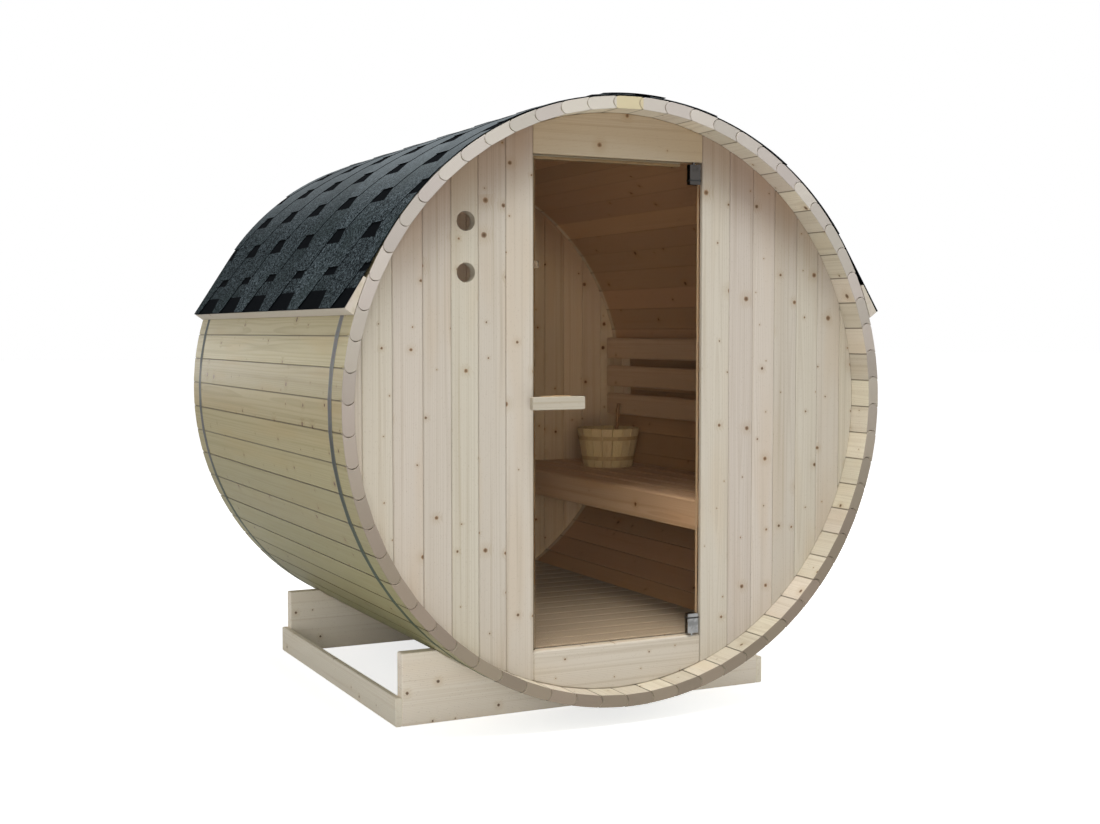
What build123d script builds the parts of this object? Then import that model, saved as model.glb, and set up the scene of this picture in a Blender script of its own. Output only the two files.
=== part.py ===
from build123d import *
import os
from math import acos, cos, pi, radians, sin, sqrt, tan

# A barrel sauna on a timber cradle. X is to the right seen from the door, Y runs from the
# door to the rear end and Z is up. The origin is on the ground below the middle of the barrel.
# Lengths are in millimetres and angles in degrees, turned clockwise from the top, seen from the door.

# Barrel
barrel_length = 1850.0
barrel_radius = 950.0
ground_clearance = 60.0
stave_thickness = 38.0
stave_count = 64
stave_turn_angle = -1.06
bead_height = 10.0
bead_facet_count = 6
cove_relief = 1.6
joint_clearance = 0.3

# End walls, held in a groove cut round the inside of the staves
front_recess = 93.0
rear_recess = 50.0
wall_thickness = 38.0
groove_depth = 10.0

# Air vents through the front wall, left of the doorway and below its top
vent_diameter = 60.0
vent_jamb_distance = 224.0
vent_drop = 214.0
vent_spacing = 154.0
vent_count = 2

# Steel hoops round the barrel
hoop_width = 34.0
hoop_thickness = 1.2
hoop_setback = 110.0

# Doorway, between a header and a sill that are measured from the staves, and the glass door
doorway_width = 608.0
header_depth = 140.0
sill_depth = 144.0
glass_thickness = 8.0
glass_setback = 4.0
glass_side_gap = 6.5
glass_end_gap = 8.0

# Pivot hinges of the door
clamp_width = 40.0
clamp_depth = 25.0
clamp_height = 64.0
clamp_edge_inset = 2.5
clamp_bevel = 2.0
clamp_web_width = 34.0
clamp_web_height = 40.0
pivot_diameter = 10.0
pivot_reach = 22.0
pivot_seat = 20.0
pivot_fit = 0.3

# Handles of the door
handle_length = 180.0
handle_height = 40.0
handle_thickness = 22.0
handle_standoff = 35.0
handle_overhang = 27.0
handle_rise = 7.0
handle_bevel = 5.0
spacer_length = 118.0
spacer_height = 32.0
spacer_inset = 40.0
inner_handle_inset = 62.0
inner_handle_length = 110.0
inner_handle_depth = 30.0

# Stop strips and catch behind the glass
stop_width = 15.0
stop_clearance = 6.0
stop_hinge_gap = 45.0
catch_width = 12.0
catch_height = 22.0
catch_rise = 434.0

# Floor, with its height measured from the lowest stave
floor_rise = 150.0
floor_thickness = 28.0
floor_board_count = 17
floor_gap = 8.0
floor_bearer_width = 45.0
floor_bearer_offset = 220.0

# Bench along the right side, with its height measured from the floor
bench_height = 432.0
bench_jamb_gap = 6.0
bench_slat_thickness = 28.0
bench_slat_count = 5
bench_gap = 12.0
fascia_height = 100.0
fascia_thickness = 22.0
bench_bearer_height = 60.0
bench_bearer_width = 40.0
bench_bearer_count = 3

# Backrest above the bench, with its top measured from the barrel's axis
backrest_inset = 67.0
backrest_top = 200.0
backrest_slat_count = 3
backrest_slat_height = 90.0
backrest_slat_thickness = 20.0
backrest_gap = 31.0
backrest_end_gap = 20.0
backrest_post_width = 100.0

# Water bucket and ladle on the bench
bucket_backrest_gap = 60.0
bucket_wall_gap = 252.0
bucket_stave_count = 18
bucket_height = 160.0
bucket_top_radius = 130.0
bucket_base_radius = 102.0
bucket_wall = 13.0
ladle_side_count = 12
ladle_radius = 36.0
ladle_depth = 40.0
ladle_wall = 4.0
ladle_offset = 44.0
ladle_handle_diameter = 14.0
ladle_handle_length = 225.0
ladle_lean_angle = 10.0
ladle_bearing_angle = 40.0

# Shingle roof and the eave strips under it
roof_clearance = 0.3
eave_angle = 72.7
eave_throw = 31.2
eave_top_angle = 66.5
eave_foot_angle = 73.3
shingle_thickness = 4.0
shingle_course_count = 8
shingle_lap = 40.0
ridge_cap_half_width = 110.0

# Cradle
cradle_half_width = 664.0
cradle_height = 231.0
cradle_board_thickness = 44.0
cradle_setback = 294.0
side_board_height = 92.0
side_board_thickness = 22.0

# Overrun of every cut past the faces it opens
cut_overrun = 5.0

# Places worked out from the sizes above
axis_height = barrel_radius + ground_clearance
inner_radius = barrel_radius - stave_thickness
stave_half_angle = pi / stave_count
corner_radius = barrel_radius / cos(stave_half_angle)
lining_radius = inner_radius - joint_clearance
groove_radius = inner_radius + groove_depth
wall_radius = groove_radius - joint_clearance
front_end = -barrel_length / 2
rear_end = barrel_length / 2
front_wall_front = front_end + front_recess
front_wall_back = front_wall_front + wall_thickness
rear_wall_back = rear_end - rear_recess
rear_wall_front = rear_wall_back - wall_thickness
hoop_radius = barrel_radius + joint_clearance
hoop_corner_radius = (hoop_radius + hoop_thickness) / cos(stave_half_angle)
deck_radius = hoop_corner_radius + roof_clearance
eave_tip_radius = deck_radius + eave_throw
tangent_angle = eave_angle - acos(deck_radius / eave_tip_radius) * 180 / pi
doorway_half = doorway_width / 2
doorway_top = inner_radius - header_depth
doorway_bottom = inner_radius - sill_depth
floor_drop = inner_radius - floor_rise
bench_drop = floor_drop - bench_height
bench_front = doorway_half + bench_jamb_gap
backrest_face = inner_radius - backrest_inset
bucket_x = backrest_face - bucket_backrest_gap - bucket_top_radius
bucket_y = rear_wall_front - bucket_wall_gap - bucket_top_radius
glass_front = front_wall_front + glass_setback
glass_back = glass_front + glass_thickness
glass_middle = glass_front + glass_thickness / 2
glass_half = doorway_half - glass_side_gap
glass_top = doorway_top - glass_end_gap
glass_bottom = doorway_bottom - glass_end_gap
clamp_right = glass_half - clamp_edge_inset
pivot_x = clamp_right - clamp_width / 2


def along_barrel(profile, y_start, y_end):
    """Carry a profile drawn about the barrel's axis from y_start to y_end."""
    plane = Plane(origin=(0, y_end, axis_height), x_dir=(1, 0, 0), z_dir=(0, -1, 0))
    return extrude(plane * profile, amount=y_end - y_start, dir=(0, -1, 0))


def block(x_start, x_end, y_start, y_end, z_start, z_end):
    """A plain board with its heights taken from the barrel's axis."""
    middle = (
        (x_start + x_end) / 2,
        (y_start + y_end) / 2,
        axis_height + (z_start + z_end) / 2,
    )
    return Pos(*middle) * Box(x_end - x_start, y_end - y_start, z_end - z_start)


def strip(x_start, x_end, z_start, z_end):
    """A rectangle in the barrel's cross-section."""
    middle = ((x_start + x_end) / 2, (z_start + z_end) / 2)
    return Pos(*middle) * Rectangle(x_end - x_start, z_end - z_start)


def round_bar(radius, y_start, y_end):
    """A round solid on the barrel's axis."""
    return along_barrel(Circle(radius), y_start, y_end)


def polar(radius, angle):
    """The point in the cross-section at an angle in degrees from the top."""
    return (radius * sin(radians(angle)), radius * cos(radians(angle)))


def save(node, *pieces):
    """Write one node, with its like pieces as separate solids."""
    shape = pieces[0] if len(pieces) == 1 else Compound(children=list(pieces))
    export_step(shape, "parts/" + node + ".step")


def planed_arc(start, middle, end):
    """An arc through three points, worked as a row of narrow flats."""
    arc = ThreePointArc(start, middle, end)
    return Polyline(*[arc @ (index / bead_facet_count) for index in range(bead_facet_count + 1)])


def stave_profile():
    """A coopered stave: a bead along its left edge and a matching cove along its right."""
    outer_half = barrel_radius * tan(stave_half_angle)
    inner_half = inner_radius * tan(stave_half_angle)
    middle_half = (outer_half + inner_half) / 2
    middle_radius = (barrel_radius + inner_radius) / 2
    bead_reach = bead_height * cos(stave_half_angle)
    bead_drop = bead_height * sin(stave_half_angle)
    cove_depth = bead_height + cove_relief
    cove_reach = cove_depth * cos(stave_half_angle)
    cove_drop = cove_depth * sin(stave_half_angle)
    bead_tip = (-middle_half - bead_reach, middle_radius - bead_drop)
    cove_root = (middle_half - joint_clearance - cove_reach, middle_radius + cove_drop)
    outer_left = (-outer_half, barrel_radius)
    inner_left = (-inner_half, inner_radius)
    outer_right = (outer_half - joint_clearance, barrel_radius)
    inner_right = (inner_half - joint_clearance, inner_radius)
    edges = [
        planed_arc(outer_left, bead_tip, inner_left),
        Line(inner_left, inner_right),
        planed_arc(inner_right, cove_root, outer_right),
        Line(outer_right, outer_left),
    ]
    return make_face(edges)


def make_staves():
    """Every stave of the barrel, grooved for the end walls, in eight groups round the axis."""
    stave = along_barrel(stave_profile(), front_end, rear_end)
    groove_half = barrel_radius * tan(stave_half_angle) + bead_height
    for face, back in ((front_wall_front, front_wall_back), (rear_wall_front, rear_wall_back)):
        groove_start = face - joint_clearance
        groove_end = back + joint_clearance
        stave -= block(-groove_half, groove_half, groove_start, groove_end, 0, groove_radius)
    sides = ("top", "upper_right", "right", "lower_right", "bottom", "lower_left", "left", "upper_left")
    group_size = stave_count // len(sides)
    hub = Pos(0, 0, axis_height)
    for side_index, side in enumerate(sides):
        group = []
        for place in range(group_size):
            turn = side_index * group_size + place - group_size // 2
            angle = stave_turn_angle + turn * 360 / stave_count
            group.append(hub * Rot(0, angle, 0) * hub.inverse() * stave)
        save("barrel_staves_" + side, *group)


def make_hoops():
    """A steel hoop near each end of the barrel, bent over the corners of the staves."""
    corner_turn = Rot(0, 0, 90 - stave_turn_angle - 180 / stave_count)
    outer = RegularPolygon(hoop_radius + hoop_thickness, stave_count, major_radius=False)
    inner = RegularPolygon(hoop_radius, stave_count, major_radius=False)
    ring = corner_turn * (outer - inner)
    front_start = front_end + hoop_setback - hoop_width / 2
    rear_start = rear_end - hoop_setback - hoop_width / 2
    save("front_hoop", along_barrel(ring, front_start, front_start + hoop_width))
    save("rear_hoop", along_barrel(ring, rear_start, rear_start + hoop_width))


def front_wall_piece(profile):
    """One piece of the front wall, let into the groove in the staves."""
    return along_barrel(Circle(wall_radius) & profile, front_wall_front, front_wall_back)


def make_end_walls():
    """The front wall beside, over and under the doorway, and the whole rear wall."""
    left = front_wall_piece(strip(-wall_radius, -doorway_half, -wall_radius, wall_radius))
    for index in range(vent_count):
        vent_height = doorway_top - vent_drop - index * vent_spacing
        vent = Pos(-doorway_half - vent_jamb_distance, vent_height) * Circle(vent_diameter / 2)
        left -= along_barrel(vent, front_wall_front - cut_overrun, front_wall_back + cut_overrun)
    save("front_wall_left", left)
    save("front_wall_right", front_wall_piece(strip(doorway_half, wall_radius, -wall_radius, wall_radius)))
    header = front_wall_piece(strip(-doorway_half, doorway_half, doorway_top, wall_radius))
    sill = front_wall_piece(strip(-doorway_half, doorway_half, -wall_radius, -doorway_bottom))
    bore_radius = pivot_diameter / 2
    pin_place = Pos(pivot_x, glass_middle, axis_height)
    header -= pin_place * Pos(0, 0, doorway_top + pivot_seat / 2) * Cylinder(bore_radius, pivot_seat)
    sill -= pin_place * Pos(0, 0, -doorway_bottom - pivot_seat / 2) * Cylinder(bore_radius, pivot_seat)
    save("front_header", header)
    save("front_sill", sill)
    save("rear_wall", round_bar(wall_radius, rear_wall_front, rear_wall_back))


def pivot(height, direction):
    """A pivot pin, standing in the header or the sill."""
    pin_length = pivot_seat + pivot_reach + glass_end_gap
    pin_middle = axis_height + height + direction * (pivot_seat - pin_length / 2)
    return Pos(pivot_x, glass_middle, pin_middle) * Cylinder(pivot_diameter / 2, pin_length)


def clamp(height, direction):
    """A hinge clamp that grips a corner of the glass and turns on a pivot pin."""
    left = clamp_right - clamp_width
    web_left = glass_half - clamp_web_width
    inner_end = height - direction * clamp_height
    web_end = height - direction * clamp_web_height
    y_start = glass_middle - clamp_depth / 2
    y_end = glass_middle + clamp_depth / 2
    slot_front = glass_front - joint_clearance
    slot_back = glass_back + joint_clearance
    body = block(left, clamp_right, y_start, y_end, min(height, inner_end), max(height, inner_end))
    upright_edges = body.edges().filter_by(Axis.Z)
    body = chamfer(upright_edges, clamp_bevel)
    side_end = web_left + joint_clearance
    body -= block(left - cut_overrun, side_end, slot_front, slot_back, -barrel_radius, barrel_radius)
    slot_low = min(inner_end - direction * cut_overrun, web_end + direction * joint_clearance)
    slot_high = max(inner_end - direction * cut_overrun, web_end + direction * joint_clearance)
    body -= block(left, clamp_right + cut_overrun, slot_front, slot_back, slot_low, slot_high)
    bore_depth = pivot_reach + pivot_fit
    bore_place = Pos(pivot_x, glass_middle, axis_height + height - direction * bore_depth / 2)
    return body - bore_place * Cylinder(pivot_diameter / 2 + pivot_fit, bore_depth)


def make_door():
    """The glass with its clamps and handles, and the fixed pins, strips and catch round it."""
    glass = block(-glass_half, glass_half, glass_front, glass_back, -glass_bottom, glass_top)
    web_left = glass_half - clamp_web_width
    notch_right = glass_half + cut_overrun
    y_start = glass_front - cut_overrun
    y_end = glass_back + cut_overrun
    glass -= block(web_left, notch_right, y_start, y_end, glass_top - clamp_web_height, glass_top + cut_overrun)
    glass -= block(
        web_left, notch_right, y_start, y_end, -glass_bottom - cut_overrun, -glass_bottom + clamp_web_height
    )
    save("door_glass", glass)
    save("hinge_clamps", clamp(glass_top, 1), clamp(-glass_bottom, -1))
    save("hinge_pivots", pivot(doorway_top, 1), pivot(-doorway_bottom, -1))
    make_handles()
    stop_front = glass_back + stop_clearance
    stop_top = doorway_top - stop_width
    stop_right = pivot_x - stop_hinge_gap
    left_stop = block(
        -doorway_half, -doorway_half + stop_width, stop_front, front_wall_back,
        -doorway_bottom, stop_top - joint_clearance,
    )
    top_stop = block(-doorway_half, stop_right, stop_front, front_wall_back, stop_top, doorway_top)
    save("door_stop_strips", left_stop, top_stop)
    catch_left = -doorway_half + stop_width
    catch = block(
        catch_left, catch_left + catch_width, stop_front, front_wall_back,
        catch_rise - catch_height / 2, catch_rise + catch_height / 2,
    )
    save("door_catch", catch)


def make_handles():
    """The outside bar on its spacer, and the plain grip inside."""
    bar_left = -doorway_half - handle_overhang
    bar_back = glass_front - handle_standoff
    bar_middle = handle_rise
    low = bar_middle - handle_height / 2
    high = bar_middle + handle_height / 2
    bar = block(bar_left, bar_left + handle_length, bar_back - handle_thickness, bar_back, low, high)
    bar = chamfer(bar.faces().sort_by(Axis.Y)[0].edges(), handle_bevel)
    spacer_left = bar_left + spacer_inset
    spacer_low = bar_middle - spacer_height / 2
    spacer_high = bar_middle + spacer_height / 2
    spacer = block(spacer_left, spacer_left + spacer_length, bar_back, glass_front, spacer_low, spacer_high)
    save("door_handle", bar + spacer)
    grip_left = bar_left + inner_handle_inset
    grip_right = grip_left + inner_handle_length
    grip = block(grip_left, grip_right, glass_back, glass_back + inner_handle_depth, low, high)
    save("door_inner_handle", chamfer(grip.faces().sort_by(Axis.Y)[-1].edges(), handle_bevel))


def make_floor():
    """Floor boards across the barrel on two bearers cut to its curve."""
    lining = Circle(lining_radius)
    underside = -floor_drop - floor_thickness
    profile = lining & strip(-inner_radius, inner_radius, underside, -floor_drop)
    pitch = (rear_wall_front - front_wall_back) / floor_board_count
    boards = []
    for index in range(floor_board_count):
        start = front_wall_back + index * pitch + floor_gap / 2
        boards.append(along_barrel(profile, start, start + pitch - floor_gap))
    save("floor_boards", *boards)
    bearers = []
    for offset in (-floor_bearer_offset, floor_bearer_offset):
        left = offset - floor_bearer_width / 2
        bearer = lining & strip(left, left + floor_bearer_width, -inner_radius, underside)
        bearers.append(along_barrel(bearer, front_wall_back, rear_wall_front))
    save("floor_bearers", *bearers)


def make_bench():
    """Bench slats behind a front board, carried on cross bearers cut to the barrel's curve."""
    lining = Circle(lining_radius)
    underside = -bench_drop - bench_slat_thickness
    slats_left = bench_front + fascia_thickness + joint_clearance
    slats_right = sqrt(lining_radius**2 - underside**2)
    slat_pitch = (slats_right - slats_left + bench_gap) / bench_slat_count
    slats = []
    for index in range(bench_slat_count):
        left = slats_left + index * slat_pitch
        right = left + slat_pitch - bench_gap
        slats.append(block(left, right, front_wall_back, rear_wall_front, underside, -bench_drop))
    save("bench_slats", *slats)
    fascia_low = -bench_drop - fascia_height
    fascia_back = bench_front + fascia_thickness
    fascia = block(bench_front, fascia_back, front_wall_back, rear_wall_front, fascia_low, -bench_drop)
    save("bench_front_board", fascia)
    profile = lining & strip(fascia_back, inner_radius, underside - bench_bearer_height, underside)
    run = rear_wall_front - front_wall_back - bench_bearer_width
    bearers = []
    for index in range(bench_bearer_count):
        start = front_wall_back + run * index / (bench_bearer_count - 1)
        bearers.append(along_barrel(profile, start, start + bench_bearer_width))
    save("bench_bearers", *bearers)


def make_backrest():
    """Level slats on two posts that are cut to the barrel's curve."""
    y_start = front_wall_back + backrest_end_gap
    y_end = rear_wall_front - backrest_end_gap
    slat_back = backrest_face + backrest_slat_thickness
    slats = []
    for index in range(backrest_slat_count):
        high = backrest_top - index * (backrest_slat_height + backrest_gap)
        slats.append(block(backrest_face, slat_back, y_start, y_end, high - backrest_slat_height, high))
    save("backrest_slats", *slats)
    low = backrest_top - backrest_slat_count * (backrest_slat_height + backrest_gap) + backrest_gap
    profile = Circle(lining_radius) & strip(slat_back, inner_radius, low, backrest_top)
    front_post = along_barrel(profile, y_start, y_start + backrest_post_width)
    rear_post = along_barrel(profile, y_end - backrest_post_width, y_end)
    save("backrest_posts", front_post, rear_post)


def tub(base_radius, top_radius, height):
    """A tapered tub with flat staves for sides."""
    turns = [index * 2 * pi / bucket_stave_count for index in range(bucket_stave_count)]
    base = [(base_radius * cos(turn), base_radius * sin(turn), 0) for turn in turns]
    top = [(top_radius * cos(turn), top_radius * sin(turn), height) for turn in turns]
    outlines = [base, top]
    for index in range(bucket_stave_count):
        outlines.append([base[index - 1], base[index], top[index], top[index - 1]])
    return Solid(Shell([Face(Wire.make_polygon(outline)) for outline in outlines]))


def make_bucket():
    """A coopered bucket with a ladle standing in it."""
    place = Pos(bucket_x, bucket_y, axis_height - bench_drop)
    flare = (bucket_top_radius - bucket_base_radius) / bucket_height
    floor_radius = bucket_base_radius - bucket_wall + flare * bucket_wall
    hollow = tub(floor_radius, bucket_top_radius - bucket_wall, bucket_height - bucket_wall)
    bucket = tub(bucket_base_radius, bucket_top_radius, bucket_height) - Pos(0, 0, bucket_wall) * hollow
    save("water_bucket", place * bucket)
    bowl = extrude(RegularPolygon(ladle_radius, ladle_side_count), amount=ladle_depth)
    bowl_hollow = RegularPolygon(ladle_radius - ladle_wall, ladle_side_count)
    bowl -= Pos(0, 0, ladle_wall) * extrude(bowl_hollow, amount=ladle_depth)
    handle = extrude(RegularPolygon(ladle_handle_diameter / 2, ladle_side_count), amount=ladle_handle_length)
    ladle = bowl + Pos(ladle_radius, 0, ladle_depth / 2) * Rot(0, ladle_lean_angle, 0) * handle
    ladle_place = Rot(0, 0, ladle_bearing_angle) * Pos(ladle_offset, 0, bucket_wall + joint_clearance)
    save("water_ladle", place * ladle_place * ladle)


def roof_point(distance, height):
    """A point above the roof's path, at a distance along it from the ridge towards the right eave."""
    arc_length = deck_radius * radians(tangent_angle)
    if distance <= arc_length:
        return polar(deck_radius + height, distance / deck_radius * 180 / pi)
    start = polar(deck_radius + height, tangent_angle)
    run = distance - arc_length
    return (start[0] + run * cos(radians(tangent_angle)), start[1] - run * sin(radians(tangent_angle)))


def roof_path_length():
    """The way along the roof from the ridge to the tip of the eave."""
    return deck_radius * radians(tangent_angle) + sqrt(eave_tip_radius**2 - deck_radius**2)


def lapped_sheet(points):
    """A thin sheet between a row of points on its underside and a row on its top."""
    under, over = points
    edges = [
        Spline(*under) if len(under) > 2 else Line(*under),
        Line(under[-1], over[-1]),
        Spline(*over) if len(over) > 2 else Line(*over),
        Line(over[0], under[0]),
    ]
    return along_barrel(make_face(edges), front_end, rear_end)


def make_roof():
    """Lapped shingle courses from eave to ridge on both sides, a ridge cap and the eave strips."""
    path = roof_path_length()
    exposure = path / shingle_course_count
    width = exposure + shingle_lap
    lift = (shingle_thickness + roof_clearance) * width / exposure
    sides = {"roof_right_courses": [], "roof_left_courses": []}
    shares = (0.0, 0.25, 0.5, 0.75, 1.0)
    for index in range(shingle_course_count):
        low = path - index * exposure
        high = max(low - width, 0.0)
        distances = [low + (high - low) * share for share in shares]
        heights = [lift * (1 - (low - distance) / width) for distance in distances]
        under = [roof_point(d, h) for d, h in zip(distances, heights)]
        over = [roof_point(d, h + shingle_thickness) for d, h in zip(distances, heights)]
        course = lapped_sheet((under, over))
        sides["roof_right_courses"].append(course)
        sides["roof_left_courses"].append(mirror(course, Plane.YZ))
    for node, courses in sides.items():
        save(node, *courses)
    ridge_rest = lift * (1 - (exposure - ridge_cap_half_width) / width) + shingle_thickness + roof_clearance
    cap = Circle(deck_radius + ridge_rest + shingle_thickness) - Circle(deck_radius + ridge_rest)
    half = ridge_cap_half_width
    cap &= strip(-half, half, 0, barrel_radius * 2)
    save("roof_ridge_cap", along_barrel(cap, front_end, rear_end))
    make_eave_strips()


def make_eave_strips():
    """A wedge under each eave that throws the shingles clear of the barrel."""
    top_radius = deck_radius / cos(radians(eave_top_angle - tangent_angle))
    middle_angle = (eave_top_angle + eave_foot_angle) / 2
    edges = [
        Line(polar(top_radius, eave_top_angle), polar(eave_tip_radius, eave_angle)),
        Line(polar(eave_tip_radius, eave_angle), polar(deck_radius, eave_foot_angle)),
        ThreePointArc(
            polar(deck_radius, eave_foot_angle),
            polar(deck_radius, middle_angle),
            polar(deck_radius, eave_top_angle),
        ),
        Line(polar(deck_radius, eave_top_angle), polar(top_radius, eave_top_angle)),
    ]
    right = along_barrel(make_face(edges), front_end, rear_end)
    save("right_eave_strip", right)
    save("left_eave_strip", mirror(right, Plane.YZ))


def make_cradle():
    """Two cross boards hollowed to the barrel and two side boards across their ends."""
    ground = -axis_height
    saddle = Circle(corner_radius + joint_clearance)
    profile = strip(-cradle_half_width, cradle_half_width, ground, ground + cradle_height) - saddle
    front = front_end + cradle_setback
    rear = rear_end - cradle_setback
    save("cradle_front_board", along_barrel(profile, front, front + cradle_board_thickness))
    save("cradle_rear_board", along_barrel(profile, rear - cradle_board_thickness, rear))
    side_top = ground + side_board_height
    outer = cradle_half_width + side_board_thickness
    save("cradle_right_board", block(cradle_half_width, outer, front, rear, ground, side_top))
    save("cradle_left_board", block(-outer, -cradle_half_width, front, rear, ground, side_top))


os.makedirs("parts", exist_ok=True)
make_staves()
make_hoops()
make_end_walls()
make_door()
make_floor()
make_bench()
make_backrest()
make_bucket()
make_roof()
make_cradle()
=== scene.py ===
import math
import random

import bmesh
import bpy
from mathutils import Matrix, Vector


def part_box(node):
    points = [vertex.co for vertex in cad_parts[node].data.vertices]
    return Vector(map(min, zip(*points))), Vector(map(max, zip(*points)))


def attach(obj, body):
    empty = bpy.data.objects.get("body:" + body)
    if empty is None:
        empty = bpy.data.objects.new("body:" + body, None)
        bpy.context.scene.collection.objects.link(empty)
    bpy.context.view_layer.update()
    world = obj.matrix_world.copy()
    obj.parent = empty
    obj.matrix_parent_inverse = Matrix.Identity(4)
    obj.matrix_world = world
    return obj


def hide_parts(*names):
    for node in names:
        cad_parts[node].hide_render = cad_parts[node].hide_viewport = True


# A barrel sauna of pale spruce on a timber cradle, with a bronze glass door and a shingle roof.
# Lengths are in metres, in the frame of the CAD model: X is to the right seen from the door,
# Y runs from the door to the rear end and Z is up.
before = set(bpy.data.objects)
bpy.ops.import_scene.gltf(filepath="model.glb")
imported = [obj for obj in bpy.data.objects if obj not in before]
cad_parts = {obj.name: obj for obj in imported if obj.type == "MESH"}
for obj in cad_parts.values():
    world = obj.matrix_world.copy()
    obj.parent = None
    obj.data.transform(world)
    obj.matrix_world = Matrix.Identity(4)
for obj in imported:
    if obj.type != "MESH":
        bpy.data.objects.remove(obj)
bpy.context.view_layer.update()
chance = random.Random(11)

# How far each board's grain is shifted across, along and through it
grain_shift = (0.05, 9.0, 0.025)

# A corner that bends more than this is cut off, by this share of the ease
least_bend = 0.5
corner_cut = 0.95

# Barrel
axis_height = 1.010
barrel_radius = 0.950
stave_thickness = 0.038
stave_count = 64
stave_turn = math.radians(-1.06)
stave_bead = 0.010
stave_cove_relief = 0.0024
stave_nose = 0.003
stave_end_nose = 0.0065
stave_inner_ease = 0.0012
stave_gap = 0.0003
stave_ease = 0.0012
stave_crown = 0.0008
crown_steps = 6
stave_loose_end = 0.016
stave_tight_start = 0.024
bead_steps = 10
inner_radius = barrel_radius - stave_thickness
middle_radius = (barrel_radius + inner_radius) / 2
stave_half_width = barrel_radius * math.tan(math.pi / stave_count)
stave_inner_half_width = inner_radius * math.tan(math.pi / stave_count)
front_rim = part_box("barrel_staves_top")[0].y
rear_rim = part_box("barrel_staves_top")[1].y
barrel_length = rear_rim - front_rim
stave_sides = ("top", "upper_right", "right", "lower_right", "bottom", "lower_left", "left", "upper_left")

# End walls of upright boards
wall_radius = 0.9132
board_ease = 0.0025
sill_ease = 0.0045
board_gap = 0.0009
arc_steps = 6
left_board_edges = (-0.9125, -0.858, -0.763, -0.667, -0.576, -0.487, -0.396, -0.304)
right_board_edges = (0.304, 0.410, 0.502, 0.588, 0.678, 0.764, 0.857, 0.9125)
rear_board_width = 0.0915
vent_board = left_board_edges[4:6]
vent_radius = 0.030
vent_places = ((-0.528, 1.568), (-0.528, 1.414))
lath_width = 0.015
lath_ease = 0.0015
lath_gap = 0.0003

# Cabin and door
floor_count = 17
floor_gap = 0.008
floor_ease = 0.002
floor_clearance = 0.0003
slat_ease = 0.004
bar_thickness = 0.022
bar_ease = 0.002
grip_ease = 0.005
spacer_ends = (0.040, 0.158)
spacer_inset = 0.004
clamp_height = 0.064
gasket_height = 0.005
gasket_proud = 0.0007
gasket_ease = 0.0005
lower_gasket_inset = 0.016
upper_gasket_inset = 0.011

# Shingle roof
roof_radius = 0.9522
eave_tip_radius = 0.9851
eave_angle = math.radians(72.7)
tangent_angle = eave_angle - math.acos(roof_radius / eave_tip_radius)
roof_arc = roof_radius * tangent_angle
roof_path = roof_arc + math.sqrt(eave_tip_radius**2 - roof_radius**2)
course_count = 8
tab_count = 8
tab_pitch = 0.333
tab_foot = 0.112
tab_shoulder = 0.250
tab_steps = 5
tab_side_gap = 0.0004
slot_depth = 0.156
slot_step = 0.0002
shingle_height = 0.310
shingle_thickness = 0.0018
course_exposure = roof_path / course_count
lap_clearance = 1.05
tab_lift = shingle_thickness * shingle_height / course_exposure * lap_clearance
even_course_phase = -0.0895
columns_before_middle = 3
starter_lift = 0.0002
starter_steps = 3
starter_bands = ((0.001, 0.068, "bare"), (0.068, 0.124, "granules"), (0.124, slot_depth, "bare"))
ridge_lift = 0.0044
ridge_radius = roof_radius + ridge_lift
ridge_half_width = 0.110
ridge_steps = 8
ridge_tile_count = 12
ridge_tile_length = 0.300
ridge_tile_step = 0.148
ridge_tile_lift = 0.0020
# What a shingle's surface carries: the rise above its tab's foot, or one of these instead
surface_marks = {"underside": -1.0, "granules": 0.1, "bare": 0.9}

# Cradle
cradle_half_width = 0.664
cradle_height = 0.231
cradle_ease = 0.0022
saddle_radius = 0.9516
saddle_steps = 40

# Heights between which each mark comes or goes: painted shade low on the staves and on their lower cut ends,
# painted shade under the rim, moss on the straps, a painted dark reflection on the hinges and a painted sheen
# towards the ridge; and where the cabin ends
low_shade_heights = (0.25, 1.32)
end_shade_heights = (0.40, 1.80)
moss_heights = (0.35, 0.95)
rim_shade_heights = (1.25, 1.72)
rim_shade_radii = (0.66, 0.90)
hinge_dark_reflection_heights = (1.50, 1.68)
ridge_sheen_heights = (1.55, 1.90)
cabin_ends = (0.80, 0.82)

# Studio: lamps as name, place, size and power
floor_size = 60
floor_glow = (0.72, 0.72, 0.72)
air_light = 0.38
lamp_target = Vector((0, -0.3, 1.0))
lamps = (
    ("key_lamp", (-0.6, -2.3, 6.4), 3.0, 290.0),
    ("low_lamp", (-2.4, -6.2, 0.8), 3.0, 110.0),
    ("side_lamp", (-6.0, 0.4, 3.4), 3.0, 26.0),
    ("sheen_lamp", (-2.7, 6.6, 1.35), 1.2, 15.0),
    ("rear_lamp", (4.2, 6.0, 3.6), 3.0, 130.0),
    ("right_lamp", (6.0, 0.4, 3.0), 3.0, 75.0))
camera_place = (-2.2741, -4.9461, 1.2358)
camera_turn = (math.radians(90 - 3.094), 0, math.radians(-26.231))
camera_lens = 48.491
camera_sensor = 36.0


class Signal:
    """The output of a node, which Python arithmetic can carry further."""

    def __init__(self, graph, socket):
        self.graph = graph
        self.socket = socket

    def __add__(self, other):
        return self.graph.maths("ADD", self, other)

    def __radd__(self, other):
        return self.graph.maths("ADD", other, self)

    def __sub__(self, other):
        return self.graph.maths("SUBTRACT", self, other)

    def __rsub__(self, other):
        return self.graph.maths("SUBTRACT", other, self)

    def __mul__(self, other):
        return self.graph.maths("MULTIPLY", self, other)

    def __rmul__(self, other):
        return self.graph.maths("MULTIPLY", other, self)

    def __truediv__(self, other):
        return self.graph.maths("DIVIDE", self, other)

    def __rtruediv__(self, other):
        return self.graph.maths("DIVIDE", other, self)


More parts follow.
